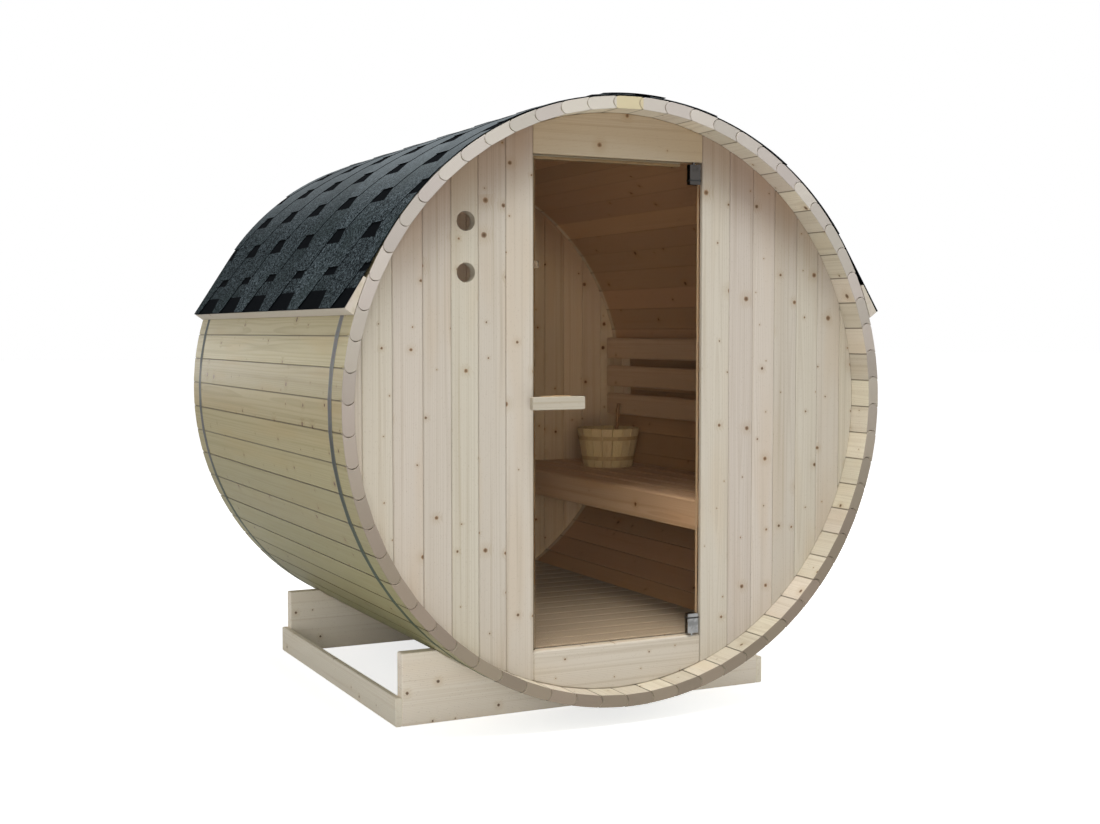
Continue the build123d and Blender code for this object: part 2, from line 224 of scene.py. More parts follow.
class Graph:
    """A tree of shader or geometry nodes."""

    def __init__(self, tree):
        self.tree = tree

    def node(self, kind, sockets=None, output=0, **settings):
        """Add a node: its settings first, then a value or a link for each named or numbered socket."""
        made = self.tree.nodes.new(kind)
        for name, value in settings.items():
            setattr(made, name, value)
        for name, value in (sockets or {}).items():
            self.feed(made.inputs[name], value)
        return Signal(self, made.outputs[output]) if made.outputs else made

    def feed(self, socket, value):
        if isinstance(value, Signal):
            self.tree.links.new(value.socket, socket)
        elif socket.type == "RGBA" and len(value) == 3:
            socket.default_value = (*value, 1.0)
        else:
            socket.default_value = value

    def maths(self, operation, *values):
        return self.node("ShaderNodeMath", dict(enumerate(values)), operation=operation)

    def vector(self, operation, *values):
        return self.node("ShaderNodeVectorMath", dict(enumerate(values)), operation=operation)

    def smooth(self, value, low, high):
        """0 below low, 1 above high and a smooth rise between them."""
        sockets = {"Value": value, "From Min": low, "From Max": high}
        return self.node("ShaderNodeMapRange", sockets, interpolation_type="SMOOTHSTEP")

    def mix(self, factor, first, second, blend="MIX"):
        """A mix of two colours."""
        sockets = {0: factor, 6: first, 7: second}
        return self.node("ShaderNodeMix", sockets, 2, data_type="RGBA", blend_type=blend)

    def even(self, value):
        """The same value along all three axes."""
        return self.node("ShaderNodeCombineXYZ", {axis: value for axis in "XYZ"})

    def seen(self, *looks):
        """1 for a ray of any of these kinds."""
        found = 0.0
        for look in looks:
            found = self.maths("MAXIMUM", found, self.node("ShaderNodeLightPath", output=look))
        return found


class Finish(Graph):
    """A material with one Principled shader."""

    def __init__(self, name):
        self.material = bpy.data.materials.new(name)
        self.material.use_nodes = True
        super().__init__(self.material.node_tree)
        self.shader = self.tree.nodes["Principled BSDF"]
        self.output = self.tree.nodes["Material Output"]

    def set(self, **sockets):
        for name, value in sockets.items():
            self.feed(self.shader.inputs[name.replace("_", " ").title().replace("Ior", "IOR")], value)

    def attribute(self, name, output=1):
        return self.node("ShaderNodeAttribute", output=output, attribute_name=name)

    def object_place(self):
        return self.node("ShaderNodeTexCoord", output=3)

    def split(self, vector):
        parts = self.node("ShaderNodeSeparateXYZ", {0: vector}).socket.node.outputs
        return [Signal(self, part) for part in parts]

    def noise(self, place, stretch, detail=2.0):
        """Noise from 0 to 1 with its own frequency along each axis."""
        stretched = self.vector("MULTIPLY", place, stretch)
        return self.node("ShaderNodeTexNoise", {"Vector": stretched, "Scale": 1.0, "Detail": detail})

    def relief(self, height, strength, distance):
        self.set(normal=self.node("ShaderNodeBump", {
            "Height": height, "Strength": strength, "Distance": distance}))


class Spruce(Finish):
    """Sawn spruce with year rings round a pith, long fibres, warm patches and knots.

    Boards made here carry their own grain place; a CAD piece gets one from its object place and
    the axis its grain follows. With half its length given, a board shows no knots on its cut ends.
    """

    grain_turns = {"X": (0, 0, math.pi / 2), "Y": (0, 0, 0), "Z": (math.pi / 2, 0, 0)}
    knots_per_metre = 9.5
    least_knot = 0.0024
    knot_growth = 0.0085
    mark_cells = 5.0
    pith_depth = 0.052
    ring_width = 0.0042

    def __init__(self, name, knot_share, grain=None, half_length=None):
        super().__init__(name)
        if grain is None:
            own = self.attribute("plank")
            place = self.vector("ADD", own, self.attribute("shift"))
            self.tone = self.attribute("tone", 2)
        else:
            turned = {"Vector": self.object_place(), "Rotation": self.grain_turns[grain]}
            own = self.node("ShaderNodeMapping", turned)
            place = own
            self.tone = self.noise(place, (9.0, 0.15, 9.0), 0.0)
        self.own = own
        self.at_end = 0.0
        if half_length is not None:
            from_middle = self.maths("ABSOLUTE", self.split(own)[1])
            self.at_end = self.smooth(from_middle, half_length - 0.002, half_length - 0.001)
        across, along, depth = self.split(place)
        self.draw_knots(self.node("ShaderNodeCombineXYZ", {"X": across, "Y": along}), knot_share)
        self.draw_rings(place, across, depth)

    def cells(self, flat_place, scale):
        """A flat pattern of cells: the distance to a cell's middle, and its three random numbers."""
        sockets = {"Vector": flat_place, "Scale": scale}
        distance = self.node("ShaderNodeTexVoronoi", sockets, voronoi_dimensions="2D")
        draws = Signal(self, distance.socket.node.outputs["Color"])
        return distance, self.split(draws)

    def marks(self, flat_place, stretch, channel, share, inner, outer):
        """Small dark marks in a share of the cells of a stretched pattern."""
        distance, draws = self.cells(self.vector("MULTIPLY", flat_place, stretch), self.mark_cells)
        kept = self.maths("LESS_THAN", draws[channel], share) * (1 - self.at_end)
        return kept * (1 - self.smooth(distance, inner, outer))

    def draw_knots(self, flat_place, share):
        sockets = {"Vector": flat_place, "Scale": 210.0, "Detail": 2.0}
        ragged = self.node("ShaderNodeTexNoise", sockets, 1, noise_dimensions="2D")
        ragged = self.vector("MULTIPLY_ADD", ragged, (0.0034, 0.0034, 0.0), flat_place)
        distance, (keep, size, self.knot_hue) = self.cells(ragged, self.knots_per_metre)
        radius = self.least_knot + self.knot_growth * size * size * size
        outward = distance / self.knots_per_metre / radius
        kept = self.maths("LESS_THAN", keep, share) * (1 - self.at_end)
        self.knot = kept * (1 - self.smooth(outward, 0.62, 1.0))
        self.heart = kept * (1 - self.smooth(outward, 0.30, 0.70))
        self.halo = kept * (1 - self.smooth(outward, 0.8, 4.0))
        self.fleck = self.marks(flat_place, (170.0, 42.0, 1.0), 0, 0.016, 0.1, 0.5)
        self.crack = self.marks(flat_place, (230.0, 13.0, 1.0), 1, 0.010, 0.05, 0.33)

    def draw_rings(self, place, across, depth):
        wobble = self.noise(place, (7.0, 0.7, 7.0)) - 0.5
        pith_x = across + 0.030 * wobble + 0.010 * self.halo
        pith_z = depth + self.pith_depth + 0.020 * wobble
        pith_distance = self.maths("SQRT", pith_x * pith_x + pith_z * pith_z)
        ring = self.maths("FRACT", pith_distance / self.ring_width)
        self.late_wood = self.smooth(ring, 0.45, 0.92) * (1 - self.smooth(ring, 0.94, 1.0))
        self.fibre = self.noise(place, (420.0, 5.0, 420.0), 1.0)
        self.long_streak = self.noise(place, (75.0, 0.9, 75.0), 2.0)
        self.patch = self.smooth(self.noise(place, (10.0, 1.6, 10.0), 1.0), 0.50, 0.72)

    def bare(self, pale, streak, honey):
        """The colour of bare wood."""
        colour = self.mix(0.55 * self.patch, pale, honey)
        colour = self.mix(0.62 * self.smooth(self.long_streak, 0.50, 0.78), colour, streak)
        return self.mix(0.34 * self.late_wood * (0.5 + self.fibre), colour, streak)

    def painted_dark_top(self, colour, stain):
        """Painted shade on a wall, darker along its upper rim where the barrel's overhang shades it."""
        x, _, z = self.split(self.object_place())
        from_axis = self.maths("SQRT", x * x + (z - axis_height) * (z - axis_height))
        share = self.smooth(from_axis, *rim_shade_radii) * self.smooth(z, *rim_shade_heights)
        return self.mix(share, colour, stain, "MULTIPLY")

    def made(self, colour, tone_spread, polish=0.0):
        """Give each board its tone, draw the knots and marks over it and hand out the material."""
        shade = self.even(0.975 + tone_spread * (self.tone - 0.5))
        colour = self.mix(1.0, colour, shade, "MULTIPLY")
        leaning = self.mix(self.maths("FRACT", 7.3 * self.tone), (1.02, 0.985, 0.985), (0.995, 0.995, 0.94))
        colour = self.mix(1.0, colour, leaning, "MULTIPLY")
        knot_colour = self.mix(self.knot_hue, (0.155, 0.085, 0.042), (0.30, 0.165, 0.080))
        colour = self.mix(0.75 * self.halo, colour, (0.90, 0.86, 0.80), "MULTIPLY")
        colour = self.mix(0.80 * self.knot, colour, knot_colour)
        colour = self.mix(0.62 * self.heart, colour, (0.055, 0.032, 0.018))
        colour = self.mix(0.60 * self.fleck, colour, (0.20, 0.125, 0.065))
        colour = self.mix(0.55 * self.crack, colour, (0.16, 0.115, 0.075))
        rough = 0.52 + 0.16 * self.fibre - 0.10 * self.knot - polish
        self.set(base_color=colour, roughness=rough, specular_ior_level=0.08)
        self.relief(self.late_wood * 0.5 + self.fibre * 0.7 - 0.2 * self.knot, 0.16, 0.0006)
        return self.material


def spruce(name, pale, streak, honey, knot_share=0.5, grain=None, steam_stain=None):
    wood = Spruce(name, knot_share, grain)
    colour = wood.bare(pale, streak, honey)
    if steam_stain is not None:
        colour = wood.painted_dark_top(colour, steam_stain)
    return wood.made(colour, tone_spread=0.13)


def bare_spruce(name, **options):
    return spruce(name, (0.58, 0.537, 0.468), (0.45, 0.392, 0.310), (0.57, 0.492, 0.390), **options)


def stave_spruce():
    """Staves oiled outside and darker there partly as painted shade on the barrel's sides, with painted shade
    towards the ground and on the lower cut ends, smoked in the cabin and greyed at their cut ends.
    """
    wood = Spruce("stave_spruce", 0.62, half_length=barrel_length / 2)
    colour = wood.bare((0.655, 0.60, 0.495), (0.50, 0.43, 0.325), (0.63, 0.54, 0.405))
    own_x, own_y, own_z = wood.split(wood.own)
    to_side = wood.maths("ABSOLUTE", own_x)
    x, _, z = wood.split(wood.object_place())
    face_start, face_end = 0.0165, 0.0178
    joint_start, seam_start, joint_end = 0.0034, 0.0030, 0.0014

    # The outside is darker and more olive than the bare wood: partly the oil, partly painted shade on the
    # barrel's sides.
    oil_streak = (0.315, 0.250, 0.125)
    oiled_and_shaded = wood.mix(0.42 * wood.late_wood, (0.470, 0.405, 0.235), oil_streak)
    oiled_and_shaded = wood.mix(0.6 * wood.patch, oiled_and_shaded, (0.465, 0.360, 0.180))
    oiled_and_shaded = wood.mix(0.5 * wood.smooth(wood.long_streak, 0.48, 0.75), oiled_and_shaded, oil_streak)
    # Painted shade: the oiled outside grows darker towards the bottom of the barrel.
    bloom_and_low_shade = 1 - wood.smooth(z, *low_shade_heights)
    oiled_and_shaded = wood.mix(0.85 * bloom_and_low_shade, oiled_and_shaded, (0.235, 0.226, 0.108))
    joint = wood.smooth(to_side, stave_half_width - joint_start, stave_half_width - joint_end)
    oiled_and_shaded = wood.mix(0.6 * joint, oiled_and_shaded, (0.070, 0.055, 0.034))
    outside = wood.smooth(own_z, face_start, face_end)
    colour = wood.mix(outside, colour, oiled_and_shaded)

    lining = 1 - wood.smooth(own_z, -face_end, -face_start)
    cabin = 1 - wood.smooth(wood.maths("ABSOLUTE", own_y), *cabin_ends)
    colour = wood.mix(0.7 * lining * cabin, colour, (0.41, 0.243, 0.122))
    seam = wood.smooth(to_side, stave_inner_half_width - seam_start, stave_inner_half_width - joint_end)
    colour = wood.mix(0.62 * lining * seam * (1 - 0.72 * cabin), colour, (0.085, 0.065, 0.042))

    cut = wood.mix(0.5 * wood.late_wood, (0.535, 0.50, 0.465), (0.44, 0.395, 0.35))
    # Painted shade: the cut ends grow darker towards the bottom of the barrel.
    low_end_shade = 1 - wood.smooth(z, *end_shade_heights)
    cut = wood.mix(0.90 * low_end_shade, cut, (0.235, 0.19, 0.14))
    top_stave = wood.maths("COMPARE", x, barrel_radius * math.sin(stave_turn), 0.047)
    cut = wood.mix(top_stave * wood.maths("GREATER_THAN", z, 1.85), cut, (0.56, 0.49, 0.335))
    colour = wood.mix(wood.at_end, colour, cut)
    return wood.made(colour, tone_spread=0.24, polish=0.22 * outside)


def strap_steel():
    """Galvanised strap with faint spangle and a little green tarnish."""
    finish = Finish("galvanised_strap")
    place = finish.object_place()
    spangle = finish.node("ShaderNodeTexVoronoi", {"Vector": place, "Scale": 140.0}, 1)
    tarnish = finish.smooth(finish.noise(place, (2.2, 2.2, 2.2), 3.0), 0.46, 0.62)
    scratch = finish.noise(place, (30.0, 900.0, 30.0), 1.0)
    _, y, z = finish.split(place)
    low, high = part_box("front_hoop")
    half_width = (high.y - low.y) / 2
    from_middle = finish.maths("ABSOLUTE", finish.maths("ABSOLUTE", y) + (low.y + high.y) / 2)
    # The strap's edges are lighter and shinier: partly rubbed wear, partly a painted highlight.
    rubbed_and_highlit_edge = finish.smooth(from_middle, half_width - 0.008, half_width - 0.002)
    colour = finish.mix(0.03, (0.095, 0.092, 0.086), spangle)
    colour = finish.mix(0.55 * tarnish, colour, (0.058, 0.072, 0.055))
    colour = finish.mix(0.6 * rubbed_and_highlit_edge, colour, (0.19, 0.19, 0.185))
    moss = 1 - finish.smooth(z, *moss_heights)
    colour = finish.mix(0.75 * moss, colour, (0.070, 0.098, 0.062))
    rough = 0.40 + 0.20 * scratch + 0.15 * tarnish - 0.08 * rubbed_and_highlit_edge
    finish.set(base_color=colour, metallic=0.60 - 0.3 * moss, roughness=rough, specular_ior_level=0.08)
    finish.relief(scratch, 0.10, 0.0003)
    return finish.material


def hinge_chrome():
    """Polished hinge metal with fine brush marks and dulled patches, and a painted dark reflection on its
    upper part.
    """
    finish = Finish("hinge_chrome")
    place = finish.object_place()
    brushed = finish.noise(place, (1200.0, 60.0, 60.0), 1.0)
    dulled = finish.smooth(finish.noise(place, (40.0, 40.0, 40.0), 2.0), 0.45, 0.70)
    colour = finish.mix(dulled, (0.36, 0.363, 0.36), (0.23, 0.233, 0.23))
    # Painted reflection: the clamps turn dark towards the top, standing in for the dark cabin they mirror.
    painted_dark_top = finish.smooth(finish.split(place)[2], *hinge_dark_reflection_heights)
    colour = finish.mix(0.88 * painted_dark_top, colour, (0.040, 0.033, 0.028))
    finish.set(base_color=colour, metallic=1.0, roughness=0.14 + 0.10 * brushed + 0.10 * dulled)
    finish.relief(brushed, 0.05, 0.0002)
    return finish.material


def gasket_rubber():
    """Black gasket with a dusty bloom."""
    finish = Finish("gasket_rubber")
    bloom_and_low_shade = finish.noise(finish.object_place(), (260.0, 260.0, 260.0), 3.0)
    finish.set(base_color=finish.mix(0.4 * bloom_and_low_shade, (0.010, 0.010, 0.010), (0.06, 0.058, 0.055)),
               roughness=0.62 + 0.2 * bloom_and_low_shade)
    return finish.material


def bronze_glass():
    """Bronze float glass that lets light into the cabin, with a faint film of dust."""
    finish = Finish("bronze_glass")
    film = finish.noise(finish.object_place(), (3.0, 3.0, 1.6), 3.0)
    finish.set(base_color=finish.mix(0.5 * film, (0.80, 0.665, 0.53), (0.83, 0.70, 0.57)),
               roughness=0.008 + 0.01 * film, transmission_weight=1.0, ior=1.12)
    light = finish.node("ShaderNodeLightPath", output=1)
    clear = finish.node("ShaderNodeBsdfTransparent", {"Color": (0.95, 0.92, 0.88)})
    both = finish.node("ShaderNodeMixShader", {
        0: light, 1: Signal(finish, finish.shader.outputs[0]), 2: clear})
    finish.feed(finish.output.inputs["Surface"], both)
    return finish.material


def granulated_shingle():
    """Slate-coloured mineral granules on bitumen, with a bare black band above each course's tabs."""
    finish = Finish("granulated_shingle")
    place = finish.object_place()
    rise = finish.attribute("rise", 2)
    tone = finish.attribute("tone", 2)
    granules = finish.node("ShaderNodeTexVoronoi", {"Vector": place, "Scale": 215.0}, 1)
    speck = finish.split(granules)[0]
    clump = finish.noise(place, (250.0, 250.0, 250.0), 1.0)
    cloud = finish.noise(place, (4.0, 4.0, 4.0), 3.0)
    colour = finish.mix(speck * speck * speck, (0.0025, 0.004, 0.005), (0.122, 0.155, 0.171))
    colour = finish.mix(0.72 * finish.smooth(clump, 0.56, 0.68), colour, (0.128, 0.158, 0.172))
    colour = finish.mix(0.40 * finish.smooth(cloud, 0.42, 0.66), colour, (0.026, 0.036, 0.036))
    # Painted sheen: the granules grow lighter towards the ridge.
    ridge_sheen = finish.smooth(finish.split(place)[2], *ridge_sheen_heights)
    colour = finish.mix(0.56 * ridge_sheen, colour, (0.215, 0.240, 0.255))
    colour = finish.mix(1.0, colour, finish.even(0.80 + 0.36 * tone), "MULTIPLY")
    band_edge = 0.249 + 0.006 * (clump - 0.5)
    bare = finish.maths("GREATER_THAN", rise - band_edge, 0.0)
    edge = finish.maths("LESS_THAN", rise, 0.0)
    black = finish.maths("MAXIMUM", bare, edge)
    colour = finish.mix(black, colour, finish.mix(clump, (0.0015, 0.002, 0.003), (0.004, 0.005, 0.006)))
    finish.set(base_color=colour, roughness=0.95, specular_ior_level=0.01)
    finish.relief((speck + clump) * (1 - black), 0.55, 0.0016)
    return finish.material


def mesh_of(shape, name):
    """Close a bmesh into a mesh with its faces outwards."""
    bmesh.ops.recalc_face_normals(shape, faces=shape.faces)
    mesh = bpy.data.meshes.new(name)
    shape.to_mesh(mesh)
    shape.free()
    return mesh


def loft(shape, rings, closed=False):
    """Faces that join each ring of verts to the next, and the last to the first or a cap on both."""
    followers = rings[1:] + rings[:1] if closed else rings[1:]
    for near, far in zip(rings, followers):
        for index in range(len(near)):
            shape.faces.new((near[index - 1], near[index], far[index], far[index - 1]))
    if not closed:
        shape.faces.new(rings[0])
        shape.faces.new(rings[-1])


def shown(name, mesh):
    piece = bpy.data.objects.new(name, mesh)
    bpy.context.scene.collection.objects.link(piece)
    return piece


def settled(piece):
    """Keep what a piece's modifier makes as its plain mesh."""
    graph = bpy.context.evaluated_depsgraph_get()
    mesh = bpy.data.meshes.new_from_object(piece.evaluated_get(graph))
    piece.modifiers.clear()
    piece.data = mesh


def fit(piece, body, slot, *nodes, material=None):
    """Hang a finished piece on its body, in place of the CAD nodes that it stands for."""
    if material is not None:
        piece.data.materials.clear()
        piece.data.materials.append(material)
    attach(piece, body)
    if nodes:
        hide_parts(*nodes)


def coat(material, *nodes):
    """Give CAD nodes a finish."""
    for node in nodes:
        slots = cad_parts[node].data.materials
        slots.clear()
        slots.append(material)


def shrink(outline, amount):
    """An outline drawn anticlockwise, with every side moved inwards."""
    made = []
    for index, point in enumerate(outline):
        before = (point - outline[index - 1]).normalized()
        after = (outline[(index + 1) % len(outline)] - point).normalized()
        normal = Vector((-before.y - after.y, before.x + after.x)).normalized()
        lean = normal.dot(Vector((-before.y, before.x)))
        made.append(point + normal * amount / lean)
    return made


def ease_corners(outline, amount):
    """An outline with its sharp corners cut off."""
    made = []
    for index, point in enumerate(outline):
        before = outline[index - 1] - point
        after = outline[(index + 1) % len(outline)] - point
        angle = before.angle(after)
        if abs(angle - math.pi) < least_bend:
            made.append(point)
            continue
        cut = amount * corner_cut / math.sin(angle / 2)
        made.append(point + before.normalized() * cut)
        made.append(point + after.normalized() * cut)
    return made


def arc(radius, start, end, steps):
    """Points from one angle to another, measured anticlockwise from +X, round the barrel's axis."""
    angles = [start + (end - start) * step / steps for step in range(steps + 1)]
    return [Vector((radius * math.cos(a), axis_height + radius * math.sin(a))) for a in angles]


def mark_grain(shape, verts, grain):
    """Write the grain place of one board: across, along and through it."""
    layers = shape.verts.layers
    places = [vert.co for vert in verts]
    middle = sum(places, Vector()) / len(places)
    spans = [max(place[axis] for place in places) - min(place[axis] for place in places) for axis in range(3)]
    along = "XYZ".index(grain)
    depth, across = sorted({0, 1, 2} - {along}, key=lambda axis: spans[axis])
    order = (across, along, depth)
    shift = Vector([chance.uniform(-far, far) for far in grain_shift])
    tone = chance.random()
    for vert in verts:
        local = vert.co - middle
        vert[layers.float_vector["plank"]] = Vector([local[axis] for axis in order])
        vert[layers.float_vector["shift"]] = shift
        vert[layers.float["tone"]] = tone


class Timber:
    """Boards gathered in one mesh, each with eased edges and a grain place of its own."""

    axes = {"X": (1, 2, 0), "Y": (0, 2, 1), "Z": (0, 1, 2)}

    def __init__(self, ease):
        self.ease = ease
        self.shape = bmesh.new()
        self.shape.verts.layers.float_vector.new("plank")
        self.shape.verts.layers.float_vector.new("shift")
        self.shape.verts.layers.float.new("tone")

    def board(self, outline, low, high, facing, grain):
        """A board with an outline in the plane that faces an axis, and its grain along an axis."""
        outline = ease_corners([Vector(point) for point in outline], self.ease)
        area = sum(a.x * b.y - a.y * b.x for a, b in zip(outline, outline[1:] + outline[:1]))
        if area < 0:
            outline.reverse()
        inset = shrink(outline, self.ease)
        first, second, third = self.axes[facing]
        rings = []
        levels = ((inset, low), (outline, low + self.ease), (outline, high - self.ease), (inset, high))
        for loop, height in levels:
            ring = []
            for point in loop:
                place = [0.0, 0.0, 0.0]
                place[first], place[second], place[third] = point.x, point.y, height
                ring.append(self.shape.verts.new(place))
            rings.append(ring)
        loft(self.shape, rings)
        mark_grain(self.shape, [vert for ring in rings for vert in ring], grain)

    def slab(self, low, high, grain):
        """A plain board between two corners."""
        outline = ((low[0], low[2]), (high[0], low[2]), (high[0], high[2]), (low[0], high[2]))
        self.board(outline, low[1], high[1], "Y", grain)

    def piece(self, name):
        return shown(name, mesh_of(self.shape, name))


class Rows(Graph):
    """A tree of geometry nodes with named inputs that repeats one part."""

    def __init__(self, name, **kinds):
        super().__init__(bpy.data.node_groups.new(name, "GeometryNodeTree"))
        kinds = {"Geometry": "Geometry", **kinds, "Seed": "Int", "Finish": "Material"}
        self.given = {}
        for place, (label, kind) in enumerate(kinds.items()):
            label = label.replace("_", " ")
            self.tree.interface.new_socket(label, in_out="INPUT", socket_type="NodeSocket" + kind)
            self.given[label] = self.node("NodeGroupInput", output=place)
        self.tree.interface.new_socket("Geometry", in_out="OUTPUT", socket_type="NodeSocketGeometry")
        self.number = self.node("GeometryNodeInputIndex")

    def draw(self, low, high, place):
        """A random number for each part."""
        sockets = {2: low, 3: high, "Seed": self.given["Seed"] + place}
        return self.node("FunctionNodeRandomValue", sockets, 1, data_type="FLOAT")

    def draw_vector(self, reach, place):
        """A random vector for each part, as far as this along each axis."""
        sockets = {0: [-far for far in reach], 1: reach, "Seed": self.given["Seed"] + place}
        return self.node("FunctionNodeRandomValue", sockets, data_type="FLOAT_VECTOR")

    def store(self, parts, name, kind, value):
        """Write a value on each part, for its finish to read."""
        sockets = {"Geometry": parts, "Name": name, "Value": value}
        return self.node("GeometryNodeStoreNamedAttribute", sockets, data_type=kind, domain="INSTANCE")

    def close(self, parts):
        """Join the parts and give them their finish."""
        whole = self.node("GeometryNodeRealizeInstances", {"Geometry": parts})
        whole = self.node("GeometryNodeSetMaterial", {"Geometry": whole, "Material": self.given["Finish"]})
        self.node("NodeGroupOutput", {"Geometry": whole})
        return self.tree


def board_row_tree():
    """A tree that repeats a board in a row or round an axis, each with a tone and grain of its own."""
    rows = Rows("board_row", Count="Int", Step="Vector", Turn="Vector", First_Turn="Vector", Wander="Vector",
                Place="Vector")
    given = rows.given
    number = rows.even(rows.number)
    points = rows.node("GeometryNodeSetPosition", {
        "Geometry": rows.node("GeometryNodePoints", {"Count": given["Count"]}),
        "Offset": rows.vector("MULTIPLY", number, given["Step"])})
    turn = rows.vector("MULTIPLY_ADD", number, given["Turn"], given["First Turn"])
    boards = rows.node("GeometryNodeInstanceOnPoints", {
        "Points": points, "Instance": given["Geometry"], "Rotation": turn})
    wander = rows.vector("MULTIPLY", rows.draw_vector((1.0, 1.0, 1.0), 0), given["Wander"])
    boards = rows.node("GeometryNodeTranslateInstances", {
        "Instances": boards, "Translation": wander, "Local Space": True})
    boards = rows.store(boards, "tone", "FLOAT", rows.draw(0.0, 1.0, 1))
    boards = rows.store(boards, "shift", "FLOAT_VECTOR", rows.draw_vector(grain_shift, 2))
    boards = rows.node("GeometryNodeTransform", {"Geometry": boards, "Translation": given["Place"]})
    return rows.close(boards)


def shingle_tree():
    """A tree that lays tabs in staggered courses on a flat sheet, eave first."""
    rows = Rows("shingle_courses", Courses="Int", Tabs="Int", Exposure="Float", Pitch="Float", First="Float",
                Stagger="Float", Looseness="Float")
    given = rows.given
    points = rows.node("GeometryNodePoints", {"Count": given["Courses"] * given["Tabs"]})
    course = rows.maths("FLOOR", (rows.number + 0.5) / given["Tabs"])
    column = rows.number - course * given["Tabs"]
    odd = rows.maths("MODULO", course, 2.0)
    loose = rows.draw(-1.0, 1.0, 0) * given["Looseness"]
    along = given["First"] + column * given["Pitch"] + odd * given["Stagger"] + loose
    spot = rows.node("ShaderNodeCombineXYZ", {"X": course * given["Exposure"], "Y": along})
    points = rows.node("GeometryNodeSetPosition", {"Geometry": points, "Position": spot})
    tabs = rows.node("GeometryNodeInstanceOnPoints", {"Points": points, "Instance": given["Geometry"]})
    tabs = rows.store(tabs, "tone", "FLOAT", rows.draw(0.0, 1.0, 1))
    return rows.close(tabs)


def grown(piece, tree, **inputs):
    """Run a tree on a piece and keep the result as its plain mesh."""
    modifier = piece.modifiers.new("grow", "NODES")
    modifier.node_group = tree
    for item in tree.interface.items_tree:
        key = item.name.lower().replace(" ", "_")
        if item.in_out == "INPUT" and key in inputs:
            modifier[item.identifier] = inputs[key]
    settled(piece)


def stave_outline(cove_relief, nose):
    """The cross-section of a stave at the top of the barrel: a bead at its left, a cove at its right."""
    outer = stave_half_width
    inner = stave_inner_half_width
    middle = (outer + inner) / 2

    def curve(start, through, end):
        """A smooth arc through three points, as a row of points."""
        points = []
        for step in range(bead_steps + 1):
            t = step / bead_steps
            points.append(start * (1 - t) * (1 - 2 * t) + through * 4 * t * (1 - t) + end * t * (2 * t - 1))
        return points

    bead = curve(Vector((-outer, barrel_radius)), Vector((-middle - stave_bead, middle_radius)),
                 Vector((-inner, inner_radius)))
    bead[0].x += nose
    bead[-1].x += stave_inner_ease
    cove_middle = middle - stave_gap - stave_bead - cove_relief
    cove = curve(Vector((inner - stave_gap, inner_radius)), Vector((cove_middle, middle_radius)),
                 Vector((outer - stave_gap, barrel_radius)))
    cove[0].x -= stave_inner_ease
    crown = []
    for step in range(1, crown_steps):
        side = 1 - 2 * step / crown_steps
        crown.append(Vector((side * outer, barrel_radius + stave_crown * (1 - side * side))))
    return bead + cove + crown


def staves(finish):
    """The ring of staves, each a touch longer or prouder than the next."""
    tight = stave_outline(0.0, stave_nose)
    loose = stave_outline(stave_cove_relief, stave_end_nose)
    inset = shrink(loose, stave_ease)
    shape = bmesh.new()
    plank = shape.verts.layers.float_vector.new("plank")
    rings = []
    front_end = ((inset, 0.0), (loose, stave_ease), (loose, stave_loose_end), (tight, stave_tight_start))
    rear_end = [(loop, barrel_length - place) for loop, place in reversed(front_end)]
    for loop, place in (*front_end, *rear_end):
        ring = []
        for point in loop:
            vert = shape.verts.new((point.x, front_rim + place, point.y))
            vert[plank] = Vector((point.x, place - barrel_length / 2, point.y - middle_radius))
            ring.append(vert)
        rings.append(ring)
    loft(shape, rings)
    piece = shown("coopered_staves", mesh_of(shape, "stave"))
    grown(piece, board_row, count=stave_count, turn=(0, 2 * math.pi / stave_count, 0),
          first_turn=(0, stave_turn, 0), wander=(0, 0.0009, 0.0003), place=(0, 0, axis_height),
          seed=5, finish=finish)
    fit(piece, "sauna", "stave_wood", *("barrel_staves_" + side for side in stave_sides))


def upright_outline(left, right, foot=None, head=None):
    """The outline of a wall board between two edges, cut round to the barrel or square at a doorway."""
    def rise(x):
        return math.sqrt(max(wall_radius**2 - x * x, 0.0))

    places = [left + (right - left) * step / arc_steps for step in range(arc_steps + 1)]
    lower = [(left, foot), (right, foot)]
    upper = [(right, head), (left, head)]
    if foot is None:
        lower = [(x, axis_height - rise(x)) for x in places]
    if head is None:
        upper = [(x, axis_height + rise(x)) for x in reversed(places)]
    return lower + upper


def stand_boards(timber, edges, low, high):
    """Upright boards side by side, with their joints at these edges."""
    for left, right in zip(edges, edges[1:]):
        outline = upright_outline(left + board_gap / 2, right - board_gap / 2)
        timber.board(outline, low.y, high.y, "Y", "Z")


